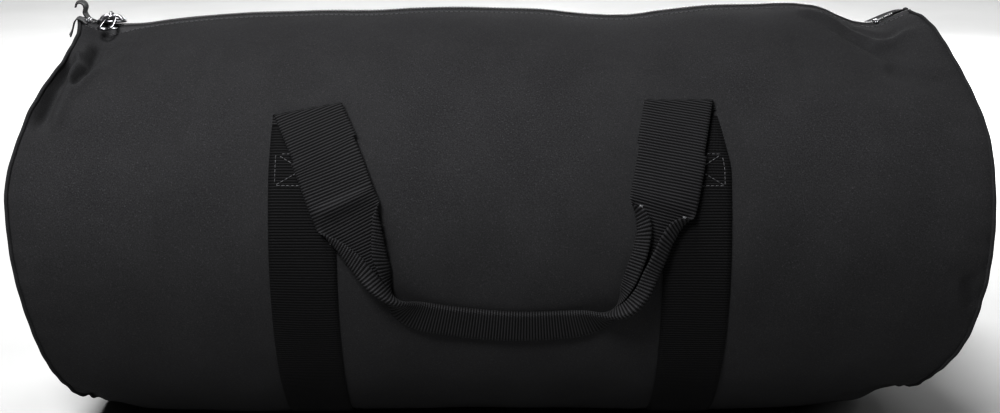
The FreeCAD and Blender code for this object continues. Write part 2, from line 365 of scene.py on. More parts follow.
def speckledMaterial(name, dark, light, scale, roughness, metallic=0.0, bump=0.3, depth=0.00008, sheen=0.0):
    # a finish from one noise: its tone, its roughness and its bump at this scale
    material, tree, shader, add, math2, noise, roughen, relief = nodeTools(name)
    grain = noise(scale, 4.0, 0.6)
    tree.links.new(colourRamp(tree, add, grain, [(0.35, dark), (0.65, light)]), shader.inputs["Base Color"])
    roughen(grain, roughness - 0.08, roughness + 0.1)
    tree.links.new(relief(grain, depth, bump), shader.inputs["Normal"])
    shader.inputs["Metallic"].default_value = metallic
    shader.inputs["Sheen Weight"].default_value = sheen
    return material


ribPitch = 0.0022
canvas = canvasMaterial("charcoalCanvas", canvasLook)
webbing = webbingMaterial("ribbedWebbing", webbingLook, ribPitch)
# painted shade: the straps are the same webbing as the handles, with their crowns painted darker, a shaded
# copy of the handle webbing
shadedStrapWebbing = webbingMaterial("shadedStrapWebbing", dict(webbingLook, crown=(0.022, 0.022, 0.023)), ribPitch)
thread = speckledMaterial("sewingThread", (0.03, 0.03, 0.032), (0.10, 0.10, 0.105), 1800, 0.5, sheen=0.1)
# painted highlight: the bartack thread is a brighter copy of the sewing thread, standing in for glints on the
# bartacks
threadWithPaintedGlint = speckledMaterial("bartackThreadPaintedGlint", (0.10, 0.10, 0.104), (0.30, 0.30, 0.31), 2200, 0.5)
zipTape = speckledMaterial("zipTape", (0.018, 0.018, 0.019), (0.06, 0.06, 0.063), 1400, 0.8,
                           bump=0.7, depth=0.0002, sheen=0.1)
coilPlastic = speckledMaterial("zipCoil", (0.012, 0.012, 0.013), (0.030, 0.030, 0.032), 700, 0.38, bump=0.2)
gunmetal = speckledMaterial("gunmetal", (0.20, 0.20, 0.21), (0.34, 0.34, 0.35), 900, 0.34,
                            metallic=1.0, bump=0.15)
tailTape = speckledMaterial("tapeTail", (0.02, 0.02, 0.021), (0.07, 0.07, 0.073), 1300, 0.78,
                            bump=0.7, depth=0.0002, sheen=0.15)
print("materials made")

# the barrel's surface
barrel = {
    "ringPoints": 176,
    "lengthPoints": 320,
    "zipRidge": 0.0034,
    "mouth": (-0.295, 0.27),
    "sliderDip": 0.0052,
    "sliderDipWidth": 0.011,
    "sliderSpread": 0.0045,
    "endReach": 0.13,
    "seamPull": 0.0012,
    "pucker": 0.0003,
    "cornerFall": 0.006,
    "strapPress": 0.0006,
    "floorRounding": 0.003,
    # height of the coil over the zipper's own level, from the left end to the right
    "topPlaces": (-0.36, -0.345, -0.333, -0.309, -0.292, -0.277, -0.26, -0.243, -0.225, -0.208, -0.173,
                  -0.139, -0.104, -0.069, -0.035, 0.0, 0.035, 0.069, 0.104, 0.139, 0.173, 0.208, 0.243,
                  0.264, 0.280, 0.292, 0.312, 0.322, 0.334, 0.36),
    "topHeights": (0.0065, 0.0050, 0.0012, 0.0, 0.0008, 0.0029, 0.0050, 0.0066, 0.0080, 0.0092, 0.0103,
                   0.0112, 0.0112, 0.0130, 0.0138, 0.0130, 0.0121, 0.0086, 0.0077, 0.0121, 0.0155,
                   0.0163, 0.0170, 0.0140, 0.0070, 0.0026, 0.0026, 0.0075, 0.0125, 0.0120),
    # how far the end seam stands from the middle, at angles from the underside up to the zipper
    "rimTurns": (-90, -62, -44, -20, 8, 22, 36, 50, 64, 78, 90),
    "rimLeftFront": (0.338, 0.344, 0.350, 0.3570, 0.3675, 0.3695, 0.3620, 0.3505, 0.3405, 0.3400, 0.3480),
    "rimRightFront": (0.332, 0.336, 0.343, 0.3600, 0.3690, 0.3695, 0.3680, 0.3610, 0.3520, 0.3440, 0.3360),
    "rimLeftBack": (0.338, 0.347, 0.355, 0.3630, 0.3690, 0.3680, 0.3630, 0.3560, 0.3500, 0.3480, 0.3480),
    "rimRightBack": (0.332, 0.341, 0.352, 0.3630, 0.3690, 0.3690, 0.3670, 0.3600, 0.3510, 0.3430, 0.3360),
    # creases: side, start (x, angle), end (x, angle), width, depth (below the surface),
    # all in metres and degrees
    "creases": (
        (-1, (-0.3330, 65), (-0.3500, 36), 0.0055, 0.0085),
        (-1, (-0.3305, 67), (-0.3325, 52), 0.0030, -0.0042),
        (-1, (-0.3215, 73), (-0.3200, 57), 0.0036, 0.0062),
        (-1, (-0.3200, 60), (-0.3310, 51), 0.0036, 0.0060),
        (-1, (-0.3115, 76), (-0.3170, 59), 0.0080, 0.0036),
        (-1, (-0.3040, 74), (-0.2940, 58), 0.0080, 0.0012),
        (-1, (-0.2270, 70), (-0.2360, 30), 0.0050, 0.0009),
        (-1, (-0.2050, 74), (-0.2000, 34), 0.0100, 0.0008),
        (-1, (0.2300, 70), (0.2360, 46), 0.0050, 0.0008),
        (-1, (0.2400, 84), (0.3180, 70), 0.0055, -0.0030),
        (-1, (0.2900, 70), (0.3330, 74), 0.0050, -0.0020),
        (-1, (0.2700, 78), (0.3250, 62), 0.0120, 0.0030),
        (-1, (0.3000, 60), (0.3420, 50), 0.0080, 0.0030),
        (-1, (0.3520, -2), (0.3620, -12), 0.0060, 0.0022),
        (-1, (-0.3300, -50), (-0.3430, -68), 0.0060, 0.0030),
        (-1, (0.3000, -48), (0.3300, -66), 0.0120, 0.0040),
        (1, (-0.3350, 80), (-0.3480, 30), 0.0070, 0.0050),
        (1, (-0.3220, 82), (-0.3100, 44), 0.0060, 0.0040),
        (1, (-0.2000, 70), (-0.1900, 20), 0.0110, 0.0012),
        (1, (0.0600, 60), (0.0800, 6), 0.0130, 0.0014),
        (1, (0.2500, 80), (0.3180, 52), 0.0110, 0.0036),
        (1, (0.3350, 66), (0.3490, 20), 0.0080, 0.0032),
        (1, (0.3100, -46), (0.3330, -66), 0.0120, 0.0040),
    ),
    "liftPlaces": (-0.37, -0.335, -0.31, 0.0, 0.23, 0.275, 0.32, 0.37),
    "liftHeights": (0.006, 0.002, 0.0, 0.0, 0.0, 0.0035, 0.0115, 0.016),
}


def rimReach(turn, right, back):
    # distance of the end seam from the middle at this angle
    key = "rim" + ("Right" if right else "Left") + ("Back" if back else "Front")
    return throughPoints(barrel["rimTurns"], barrel[key], np.clip(turn, -90, 90))


def coilRise(x):
    return throughPoints(barrel["topPlaces"], barrel["topHeights"], x)


def hemRise(x):
    # the canvas beside the zipper lies one ridge lower than the coil, and dips under the slider
    near = np.abs((x - sliderX - 0.003) / barrel["sliderDipWidth"])
    return coilRise(x) - barrel["zipRidge"] - barrel["sliderDip"] * np.exp(-near ** 1.5)


def hemTurn(x):
    # angle of the canvas edge, drawn back from the zipper a little where the slider sits
    away = bag["zipEdge"] + barrel["sliderSpread"] * np.exp(
        -(((x - sliderX) / barrel["sliderDipWidth"]) ** 2))
    return 90 - np.degrees(away / bag["radius"])


def softWaves(x, turn, side):
    # slow swells of the stuffed cloth: a few sines of unlike length and direction
    arc = np.radians(turn) * bag["radius"]
    swell = 0.0009 * np.sin(x * 31 + side * 1.3) * np.cos(arc * 19 + 0.4 * side)
    swell = swell + 0.0006 * np.sin(x * 57 + arc * 23 + 1.9 * side)
    swell = swell + 0.0004 * np.sin(x * 83 - arc * 41 + side)
    return swell * smoothStep(-80, -45, turn) * smoothStep(90, 70, turn)


def creaseDepth(x, turn, side):
    # each crease is a bell-shaped valley round a straight segment, fading at the segment's ends
    arc = np.radians(turn) * bag["radius"]
    total = np.zeros(np.broadcast(x, turn).shape)
    for creaseSide, start, end, width, depth in barrel["creases"]:
        if creaseSide != side:
            continue
        a = np.array([start[0], math.radians(start[1]) * bag["radius"]])
        b = np.array([end[0], math.radians(end[1]) * bag["radius"]])
        line = b - a
        t = ((x - a[0]) * line[0] + (arc - a[1]) * line[1]) / (line @ line)
        held = np.clip(t, 0, 1)
        away = np.hypot(x - a[0] - held * line[0], arc - a[1] - held * line[1])
        fade = smoothStep(-0.02, 0.18, held) * smoothStep(1.02, 0.75, held)
        shoulder = 0.35 * np.exp(-(((away - 2.0 * width) / width) ** 2))
        total = total + depth * fade * (np.exp(-((away / width) ** 2)) - shoulder)
    return total


def barrelSurface(x, turn, side, lift=0.0):
    # x and turn (degrees up from the level of the axis) to a point: a flattened barrel of radius
    # R + lift, whose top follows the zipper, whose ends follow the end seams, less the creases
    x, turn = np.broadcast_arrays(np.asarray(x, float), np.asarray(turn, float))
    half = bag["halfLength"]
    nearEnd = smoothStep(half - barrel["endReach"], half, np.abs(x))
    reach = np.where(x > 0, rimReach(turn, True, side > 0), rimReach(turn, False, side > 0))
    along = x + np.sign(x) * (reach - half) * nearEnd
    seamPull = barrel["seamPull"] * np.exp(-((half - np.abs(x)) / 0.006))
    pucker = barrel["pucker"] * np.sin(np.radians(turn) * 46 + side) * np.exp(-((half - np.abs(x)) / 0.014))
    overStrap = smoothStep(0.5 * webbingWidth + 0.012, 0.5 * webbingWidth - 0.002,
                           np.abs(np.abs(x) - strapOffset))
    cornerFall = barrel["cornerFall"] * smoothStep(half - 0.06, half, np.abs(x)) * smoothStep(-20, -80, turn)
    radius = bag["radius"] + lift + softWaves(x, turn, side) - creaseDepth(along, turn, side)
    radius = (radius - seamPull + pucker
              - barrel["strapPress"] * overStrap * smoothStep(40, 30, turn) - cornerFall)
    angle = np.radians(turn)
    y = side * radius * np.cos(angle)
    z = axisHeight + radius * np.sin(angle)
    z = z + hemRise(along) * smoothStep(46, 85, turn)
    z = z + throughPoints(barrel["liftPlaces"], barrel["liftHeights"], along) * smoothStep(-15, -75, turn)
    floor = bag["floor"] - lift
    above = z - floor
    soft = barrel["floorRounding"]
    z = floor + np.where(above > 2 * soft, above - soft, soft * np.exp(np.minimum(above / soft - 2, 0)))
    return np.stack([along, y, z + soft * smoothStep(soft, 0.05, above)], -1)


def outwardOf(x, turn, side):
    # unit normal of the barrel's surface from two short steps on it
    step = 0.0008
    overX = barrelSurface(x + step, turn, side) - barrelSurface(x - step, turn, side)
    overTurn = barrelSurface(x, turn + 0.25, side) - barrelSurface(x, turn - 0.25, side)
    return unit(np.cross(overX, overTurn) * -side)


def mouthShare(x):
    # 1 along the middle of the zipper and 0 at both ends, so that the open mouth is a long lens
    low, high = barrel["mouth"]
    return smoothStep(low, low + bag["endBlend"], x) * smoothStep(high, high - bag["endBlend"], x)


def blendFlap(piece, side, weights):
    name = "front_flap" if side < 0 else "back_flap"
    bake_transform(piece, "bag", name, start=(0, side * 0.11, axisHeight + 0.12),
             end=(0, side * 0.05, axisHeight + 0.16))
    layer = piece.data.attributes["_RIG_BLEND"]
    layer.data.foreach_set("value", np.asarray(weights, np.float32).ravel())


def makeBarrelHalf(side):
    # outer and inner skins of one half, joined round all four edges into a closed cloth of even thickness
    share = np.linspace(0, 1, barrel["ringPoints"])
    even = np.linspace(-1, 1, barrel["lengthPoints"])
    x = bag["halfLength"] * (even + 0.16 * np.sin(np.pi * even) / np.pi)
    x, share = np.meshgrid(x, share, indexing="ij")
    turn = -90 + (hemTurn(x) + 90) * share
    outer = barrelSurface(x, turn, side)
    normal = outwardOf(x, turn, side)
    normal[:, 0] = unit(normal[:, 0] * [1, 0, 1])
    inner = outer - normal * bag["cloth"]
    rows, columns = x.shape
    points = np.concatenate([outer.reshape(-1, 3), inner.reshape(-1, 3)])
    quads = [gridFaces(rows, columns), gridFaces(rows, columns, start=rows * columns)[:, ::-1]]
    number = np.arange(rows * columns).reshape(rows, columns)
    for edge in (number[0, ::-1], number[-1], number[:, 0], number[::-1, -1]):
        quads.append(np.stack([edge[:-1], edge[1:], edge[1:] + rows * columns,
                               edge[:-1] + rows * columns], -1))
    uv = np.stack([x, np.radians(turn) * bag["radius"]], -1).reshape(-1, 2)
    name = sideName(side) + "Cloth"
    piece = makePiece(name, points, np.concatenate(quads), canvas, np.concatenate([uv, uv]))
    faceOutward(piece)
    weights = (smoothStep(49, 69, turn) * mouthShare(x)).reshape(-1)
    blendFlap(piece, side, np.concatenate([weights, weights]))
    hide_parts(("front_lip" if side < 0 else "back_lip"), *(["body_panel"] if side < 0 else []))


for side in (-1, 1):
    makeBarrelHalf(side)
print("barrel cloth made")

# end panels and their piping
ends = {
    "bulge": 0.0075,
    "rings": 46,
    "around": 260,
    "pipingRadius": 0.0015,
    "pipingStandOff": 0.0004,
}


def rimLoop(end, count, lift=0.0):
    # the end seam as a closed loop: up the front from underneath, then down the back
    turn = np.linspace(-90, 90, count // 2, endpoint=False)
    x = np.full(len(turn), end * bag["halfLength"])
    return np.concatenate([barrelSurface(x, turn, -1, lift), barrelSurface(x, -turn, 1, lift)])


def makeEnd(end):
    # a disc drawn from the end seam to its middle: swollen outward as 1 - r^4, with soft folds near the rim
    name = "left" if end < 0 else "right"
    rim = rimLoop(end, ends["around"])
    middle = np.array([end * (0.3605 if end < 0 else 0.3590), 0, axisHeight - 0.004])
    share = np.linspace(1, 0.012, ends["rings"])[:, None, None]
    disc = middle + (rim[None] - middle) * share
    around = np.linspace(0, 2 * np.pi, len(rim), endpoint=False)[None, :]
    ripple = 0.0010 * np.sin(around * 5 + end) + 0.0006 * np.sin(around * 11 + 2 * end)
    flat = share[..., 0]
    swell = (ends["bulge"] * (1 - flat**4) + ripple * np.sin(np.pi * flat)
             + 0.003 * np.sin(around + 0.6) * flat * (1 - flat))
    outer = disc + np.stack([end * swell, 0 * swell, 0 * swell], -1)
    inner = middle + (outer - [end * bag["cloth"], 0, 0] - middle) * [1, 0.992, 0.992]
    rows, columns = disc.shape[:2]
    count = rows * columns
    quads = [gridFaces(rows, columns, closeColumns=True),
             gridFaces(rows, columns, closeColumns=True, start=count)[:, ::-1]]
    edge = np.arange(columns)
    quads.append(np.stack([edge, edge + count, np.roll(edge, -1) + count, np.roll(edge, -1)], -1))
    last = np.arange(count - columns, count)
    uv = disc[..., 1:].reshape(-1, 2)
    points = np.concatenate([outer.reshape(-1, 3), inner.reshape(-1, 3)])
    piece = makePiece(name + "End", points, np.concatenate(quads), canvas, np.concatenate([uv, uv]),
                      extra=[last[::-1], last + count])
    faceOutward(piece)
    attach(piece, "bag")
    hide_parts("end_panel_" + name)

    path = rimLoop(end, 640, ends["pipingStandOff"])
    path[:, 2] = np.maximum(path[:, 2], ends["pipingRadius"] + 0.0002)
    arc = np.linspace(0, 2 * np.pi * bag["radius"], len(path))
    ringUv = np.stack(np.broadcast_arrays(arc[:, None], np.linspace(0, 0.013, 10)[None]), -1)
    tube = tubeAlong(path, ends["pipingRadius"], 10)
    piping = makePiece(name + "Piping", tube, gridFaces(len(path), 10, True, True), canvas, ringUv)
    faceOutward(piping)
    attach(piping, "bag")
    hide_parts("piping_" + name)


for end in (-1, 1):
    makeEnd(end)
print("end panels and piping made")

# webbing: straps and handles
webbingSizes = {
    "thickness": 0.0015,
    "ribHeight": 0.00026,
    "rowsPerRib": 5,
    "wingBend": 0.17,
}


def webbingShell(name, centre, face, distance, columnPlace, material):
    # both faces of a band round its middle surface; ribs are a cosine of the distance along the band
    rib = webbingSizes["ribHeight"] * np.cos(2 * np.pi * distance / ribPitch)[:, None]
    thick = webbingSizes["thickness"] / 2 * np.sqrt(np.clip(1 - np.abs(columnPlace) ** 14, 0.1, 1))[None]
    upper = centre + face * (thick + rib)[..., None]
    lower = centre - face * (thick + rib)[..., None]
    loop = np.concatenate([upper, lower[:, ::-1]], 1)
    across = columnPlace * webbingWidth / 2
    uv = np.stack(np.broadcast_arrays(distance[:, None], np.concatenate([across, across[::-1]])[None]), -1)
    rows, around = loop.shape[:2]
    caps = endCaps(rows, around)
    piece = makePiece(name, loop, gridFaces(rows, around, closeColumns=True), material, uv, extra=caps)
    return faceOutward(piece)


straps = {
    "lift": 0.0008,
    "topArc": {"left": 0.1100, "right": 0.1178},
    "columns": 13,
    "leanStart": 0.078,
    "leanRight": 0.22,
    "leanLeft": 0.03,
}


def strapLean(turn, end):
    # above the box stitches the webbing is free and leans towards the middle of the bag
    past = np.radians(turn) * bag["radius"] - straps["leanStart"]
    slope = straps["leanRight"] if end > 0 else straps["leanLeft"]
    soft = np.where(past > -0.006, (np.clip(past, -0.006, 0.006) + 0.006) ** 2 / 0.024, 0)
    return -end * slope * (soft + np.maximum(past - 0.006, 0))


def makeStrap(end):
    # the barrel's surface under the strap, lifted by half the webbing, from the front fold to the back one
    name = "left" if end < 0 else "right"
    down = np.linspace(math.degrees(straps["topArc"][name] / bag["radius"]), -90, 900)
    turn = np.concatenate([down, down[-2::-1]])
    side = np.concatenate([np.full(len(down), -1), np.full(len(down) - 1, 1)])
    column = np.linspace(-1, 1, straps["columns"])
    x = end * strapOffset + strapLean(turn, end)[:, None] + column[None] * webbingWidth / 2
    turns = np.broadcast_to(turn[:, None], x.shape)
    front = barrelSurface(x, turns, -1, straps["lift"])
    back = barrelSurface(x, turns, 1, straps["lift"])
    grid = np.where(side[:, None, None] < 0, front, back)
    face = np.where(side[:, None, None] < 0, outwardOf(x, turns, -1), outwardOf(x, turns, 1))
    middle = grid[:, straps["columns"] // 2]
    distance = np.concatenate([[0], np.cumsum(np.linalg.norm(np.diff(middle, axis=0), axis=1))])
    count = int(distance[-1] / ribPitch * webbingSizes["rowsPerRib"])
    at = np.interp(np.linspace(0, distance[-1], count), distance, np.arange(len(distance)))
    low = np.clip(at.astype(int), 0, len(distance) - 2)
    part = (at - low)[:, None, None]
    grid = grid[low] * (1 - part) + grid[low + 1] * part
    face = unit(face[low] * (1 - part) + face[low + 1] * part)
    piece = webbingShell(name + "Strap", grid, face, np.linspace(0, distance[-1], count), column,
                         shadedStrapWebbing)
    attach(piece, "bag")
    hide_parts("strap_" + name)


for end in (-1, 1):
    makeStrap(end)
print("straps made")

handle = {
    "foldRadius": 0.0028,
    "wingLean": 1.6,
    "foldArc": {"left": 0.1197, "right": 0.1275},
    "leaves": {"left": 24, "right": 11},
    "straight": {"left": 0.034, "right": 0.040},
    # between the two straight stretches: x in mm, distance up the barrel in mm, lift in mm, roll,
    # wing angle, cup in mm, and where each wing folds as a share of the way to its edge
    "stations": (
        (-121.2, 60.0, 7.2, 0, 0, 0.1, 1.00),
        (-119.0, 54.5, 7.5, 0, 0, 0.6, 1.00),
        (-117.0, 49.5, 7.2, 0, 0, 4.4, 1.00),
        (-113.2, 41.0, 6.2, 0, 30, 1.4, 0.93),
        (-109.6, 33.5, 6.0, 2, 120, 0.4, 0.84),
        (-105.0, 24.0, 6.2, 4, 158, 0.0, 0.74),
        (-99.8, 12.0, 6.8, 9, 166, 0.0, 0.62),
        (-95.0, 1.0, 8.0, 22, 168, 0.0, 0.53),
        (-90.0, -10.0, 9.8, 58, 170, 0.0, 0.50),
        (-83.0, -21.5, 11.2, 108, 170, 0.0, 0.50),
        (-71.0, -31.5, 9.2, 156, 170, 0.0, 0.50),
        (-55.0, -38.0, 6.2, 178, 170, 0.0, 0.50),
        (-34.0, -42.5, 5.0, 180, 170, 0.0, 0.50),
        (-8.0, -46.0, 4.6, 180, 170, 0.0, 0.50),
        (20.0, -47.5, 4.6, 180, 170, 0.0, 0.50),
        (46.0, -46.0, 5.0, 178, 170, 0.0, 0.50),
        (68.0, -41.5, 7.0, 160, 170, 0.0, 0.50),
        (85.0, -34.0, 10.0, 120, 170, 0.0, 0.50),
        (96.0, -24.0, 10.8, 72, 168, 0.0, 0.50),
        (102.5, -12.0, 9.4, 34, 166, 0.0, 0.50),
        (107.0, 1.0, 7.4, 12, 166, 0.0, 0.50),
        (111.5, 13.0, 6.6, 4, 164, 0.0, 0.52),
        (115.2, 25.0, 6.2, 0, 158, 0.0, 0.57),
        (117.8, 35.0, 6.0, 0, 135, 0.0, 0.68),
        (119.8, 43.0, 5.8, 0, 60, 0.5, 0.82),
        (121.9, 51.0, 6.4, 0, 10, 1.2, 0.95),
        (123.7, 59.0, 6.6, 0, 0, 0.6, 1.00),
    ),
    "columns": 14,
    "tacks": ((0.214, -0.72), (0.214, 0.72), (0.806, -0.68), (0.806, 0.68)),
}


def ontoBarrel(flat, side):
    # a point of the unrolled barrel (x, distance up, lift) put back on the round one
    turn = np.degrees(flat[..., 1] / bag["radius"])
    up = np.radians(turn)
    outward = np.stack([0 * up, side * np.cos(up), np.sin(up)], -1)
    return barrelSurface(flat[..., 0], turn, side) + outward * flat[..., 2:3]


def turnOntoBarrel(flat, way, side):
    # the same for a direction
    up = flat[..., 1] / bag["radius"]
    outward = np.stack([0 * up, side * np.cos(up), np.sin(up)], -1)
    climbing = np.stack([0 * up, -side * np.sin(up), np.cos(up)], -1)
    return way[..., :1] * np.array([1.0, 0, 0]) + way[..., 1:2] * climbing + way[..., 2:3] * outward


def foldedEnd(end, distance, column):
    # a straight band turned over on a slanting line: beyond the line it goes round a half circle
    # and comes back, so its ribs keep their spacing; distance is measured from that line
    hand = "left" if end < 0 else "right"
    leaving = math.radians(handle["leaves"][hand])
    foldArc = handle["foldArc"][hand]
    lean = straps["leanLeft"] if end < 0 else straps["leanRight"]
    origin = np.array([end * strapOffset + strapLean(math.degrees(foldArc / bag["radius"]), end), foldArc])
    arriving = unit(np.array([-end * lean, 1.0]))
    going = np.array([-end * math.sin(leaving), -math.cos(leaving)])
    up = unit(arriving - going)
    along = np.array([up[1], -up[0]])
    side = np.array([arriving[1], -arriving[0]])
    flat = distance[:, None, None] * arriving + column[None, :, None] * webbingWidth / 2 * side
    past, level = flat @ up, flat @ along
    radius = handle["foldRadius"]
    bend = np.clip(past / radius, 0, np.pi)
    back = np.where(past < 0, past, np.where(bend < np.pi, radius * np.sin(bend), np.pi * radius - past))
    place = origin + level[..., None] * along + back[..., None] * up
    lift = straps["lift"] + radius * (1 - np.cos(bend))
    face = (np.cos(bend)[..., None] * np.array([0, 0, 1.0])
            + np.sin(bend)[..., None] * np.array([up[0], up[1], 0]))
    rolled = smoothStep(-0.2, 1.0, past / (np.pi * radius))
    return np.concatenate([place, lift[..., None]], -1), face, rolled, origin, going


def sweptMiddle(stations, column):
    # the band along the stations: it rolls about its own line, and its wings turn through the wing
    # angle about the lines halfway to its edges
    table = np.array(stations, float)
    rough = throughPoints(np.arange(len(table)), table, np.linspace(0, len(table) - 1, 5000))
    line = rough[:, :3]
    length = np.concatenate([[0], np.cumsum(np.linalg.norm(np.diff(line, axis=0), axis=1))])
    count = int(length[-1] / ribPitch * webbingSizes["rowsPerRib"])
    even = np.linspace(0, length[-1], count)
    rough = np.stack([np.interp(even, length, rough[:, k]) for k in range(rough.shape[1])], -1)
    line, roll, wing, cup = rough[:, :3], np.radians(rough[:, 3:4]), np.radians(rough[:, 4]), rough[:, 5]
    crease = rough[:, 6:7]
    tangent = unit(np.gradient(line, axis=0))
    across = unit(np.cross(tangent, [0, 0, -1.0]))
    face = np.cross(across, tangent)
    across, face = across * np.cos(roll) + face * np.sin(roll), face * np.cos(roll) - across * np.sin(roll)
    half = handle["columns"]
    c = np.linspace(0, 1, half)
    heading = -wing[:, None] * smoothStep(crease - webbingSizes["wingBend"] / 2,
                                          crease + webbingSizes["wingBend"] / 2, c[None])
    middle = (heading[:, 1:] + heading[:, :-1]) / 2
    step = webbingWidth / 2 / (half - 1)
    a = np.concatenate([np.zeros((count, 1)), np.cumsum(np.cos(middle), 1) * step], 1)
    b = np.concatenate([np.zeros((count, 1)), np.cumsum(np.sin(middle), 1) * step], 1)
    b = b - cup[:, None] * (1 - c[None] ** 2)
    a = np.concatenate([-a[:, :0:-1], a], 1)
    b = np.concatenate([b[:, :0:-1], b], 1)
    turned = np.concatenate([-heading[:, :0:-1], heading], 1)
    place = line[:, None] + a[..., None] * across[:, None] + b[..., None] * face[:, None]
    # a crease that slants by d turns the folded wing by 2d, so its ribs lean back along the band
    slant = np.arctan(np.gradient(crease[:, 0] * webbingWidth / 2, even))[:, None]
    past = np.clip(c[None] - crease, 0, 1) * webbingWidth / 2
    lean = past * np.sin(2 * handle["wingLean"] * slant) * (1 - np.cos(wing[:, None])) / 2
    lean = np.concatenate([lean[:, :0:-1], lean], 1)
    place = place + lean[..., None] * tangent[:, None]
    normal = -np.sin(turned)[..., None] * across[:, None] + np.cos(turned)[..., None] * face[:, None]
    return place, normal, even


def makeHandle(side):
    name = sideName(side)
    half = handle["columns"]
    column = np.concatenate([-np.linspace(0, 1, half)[:0:-1], np.linspace(0, 1, half)])
    spacing = ribPitch / webbingSizes["rowsPerRib"]
    root = handle["foldArc"]["left"] - straps["topArc"]["left"]
    turned = np.pi * handle["foldRadius"]
    leftWay = np.arange(-root, turned + handle["straight"]["left"], spacing)
    rightWay = np.arange(-root, turned + handle["straight"]["right"], spacing)
    left = foldedEnd(-1, leftWay, column)
    right = foldedEnd(1, rightWay, column)
    stations = np.array(handle["stations"], float) * [0.001, 0.001, 0.001, 1, 1, 0.001, 1]
    rise = straps["lift"] + 2 * handle["foldRadius"]

    def lead(part, reach):
        return np.array([*(part[3] + part[4] * reach), rise, 0, 0, 0, 1])

    leftReach, rightReach = leftWay[-1] - turned, rightWay[-1] - turned
    stations = np.vstack([lead(left, leftReach + spacing), lead(left, leftReach + 0.012), stations,
                          lead(right, rightReach + 0.012), lead(right, rightReach + spacing)])
    place, face, even = sweptMiddle(stations, column)
    flat = np.concatenate([left[0], place, right[0][::-1, ::-1]])
    face = np.concatenate([left[1], face, right[1][::-1, ::-1]])
    travel = np.concatenate([leftWay, leftWay[-1] + spacing + even,
                             leftWay[-1] + 2 * spacing + even[-1] + rightWay - rightWay[0]])
    weights = np.concatenate([left[2], np.ones(place.shape[:2]), right[2][::-1, ::-1]])
    centre = ontoBarrel(flat, side)
    normal = unit(turnOntoBarrel(flat, face, side))
    piece = webbingShell(name + "Handle", centre, normal, travel, column, webbing)
    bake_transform(piece, "bag", name + "_grab", start=(0, side * 0.12, 0.2), end=(0, side * 0.13, 0.3))
    layer = piece.data.attributes["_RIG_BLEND"]
    layer.data.foreach_set("value", np.concatenate([weights, weights[:, ::-1]], 1).astype(np.float32).ravel())
    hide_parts(name + "_handle")
    return centre, normal, travel


handleGrids = {side: makeHandle(side) for side in (-1, 1)}
print("handles made")

# the zipper
zipper = {
    "start": -0.3435,
    "finish": 0.3245,
    "toothPitch": 0.00145,
    "toothWide": 0.00042,
    "toothTall": 0.00075,
    "toothRoot": 0.0044,
    "toothReach": 0.0010,
    "tapeThickness": 0.0006,
    "tapeUnder": 0.006,
    "stopPlaces": (-0.3405, -0.3388, 0.3098, 0.3115),
}


def coilHeight(x):
    return zipMiddleZ + coilRise(x)


def makeTape(side):
    # from under the canvas edge the tape climbs to the coil: straight across, with its rise easing in as t^2
    name = sideName(side)
    x = np.linspace(-bag["halfLength"], bag["halfLength"], 560)
    hem = barrelSurface(x, hemTurn(x), side)
    t = np.linspace(0, 1, 12)[None, :]
    under = hem + np.array([0, side * zipper["tapeUnder"], -0.0028])
    inner = np.stack([hem[:, 0], np.full(len(x), side * 0.0032), coilHeight(hem[:, 0]) - 0.0003], -1)
    y = under[:, 1:2] * (1 - t) + inner[:, 1:2] * t
    z = under[:, 2:3] * (1 - t**1.6) + inner[:, 2:3] * t**1.6
    top = np.stack([np.broadcast_to(hem[:, :1], y.shape), y, z], -1)
    loop = np.concatenate([top, top[:, ::-1] - [0, 0, zipper["tapeThickness"]]], 1)
    rows, around = loop.shape[:2]
    caps = endCaps(rows, around)
    uv = np.stack(np.broadcast_arrays(x[:, None], np.linspace(0, 0.024, around)[None]), -1)
    piece = faceOutward(makePiece(name + "ZipTape", loop, gridFaces(rows, around, closeColumns=True),
                                  zipTape, uv, extra=caps))
    blendFlap(piece, side, np.repeat(mouthShare(x), around))
    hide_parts(name + "_tape", *(["zip_end_left", "zip_end_right"] if side < 0 else []))


def copiesOf(profile, quads, caps, places):
    # one small closed shape put at many places at once: places is (n, 4, 3) of three axes and an origin
    points = np.einsum("pk,nkc->npc", profile, places[:, :3]) + places[:, 3:4]
    count = len(profile)
    shift = (np.arange(len(places)) * count)[:, None, None]
    allQuads = (quads[None] + shift).reshape(-1, quads.shape[1])
    allCaps = [c + int(k) for k in shift.ravel() for c in caps]
    return points.reshape(-1, 3), allQuads, allCaps


def grainShape(rings, sides):
    # a closed rounded bar along its first axis: rings are rows of place, width and height
    turn = np.linspace(0, 2 * np.pi, sides, endpoint=False)
    table = np.array(rings, float)
    profile = np.stack([np.repeat(table[:, 0], sides),
                        (table[:, 1:2] * np.cos(turn)[None]).ravel(),
                        (table[:, 2:3] * np.sin(turn)[None]).ravel()], -1)
    return profile, gridFaces(len(table), sides, closeColumns=True), endCaps(len(table), sides)


def makeTeeth(side):
    # one tooth in every pitch, half a pitch apart on the two sides, each reaching across the middle
    name = sideName(side)
    sizes = zipper
    shape = grainShape([(0, 0.5, 0.5), (0.12, 1, 0.9), (0.75, 1, 1), (0.9, 1.15, 1.1), (1, 0.5, 0.5)], 6)
    x = np.arange(sizes["start"], sizes["finish"], sizes["toothPitch"])
    x = x + (sizes["toothPitch"] / 2 if side > 0 else 0)
    reach = sizes["toothRoot"] + sizes["toothReach"]
    places = np.zeros((len(x), 4, 3))
    places[:, 0, 1] = -side * reach
    places[:, 1, 0] = sizes["toothWide"]
    places[:, 2, 2] = sizes["toothTall"]
    places[:, 3] = np.stack([x, np.full(len(x), side * sizes["toothRoot"]), coilHeight(x)], -1)
    points, quads, caps = copiesOf(*shape, places)
    piece = faceOutward(makePiece(name + "ZipTeeth", points, quads, coilPlastic, extra=caps))
    blendFlap(piece, side, np.repeat(mouthShare(x), len(shape[0])))
    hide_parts(name + "_coil")


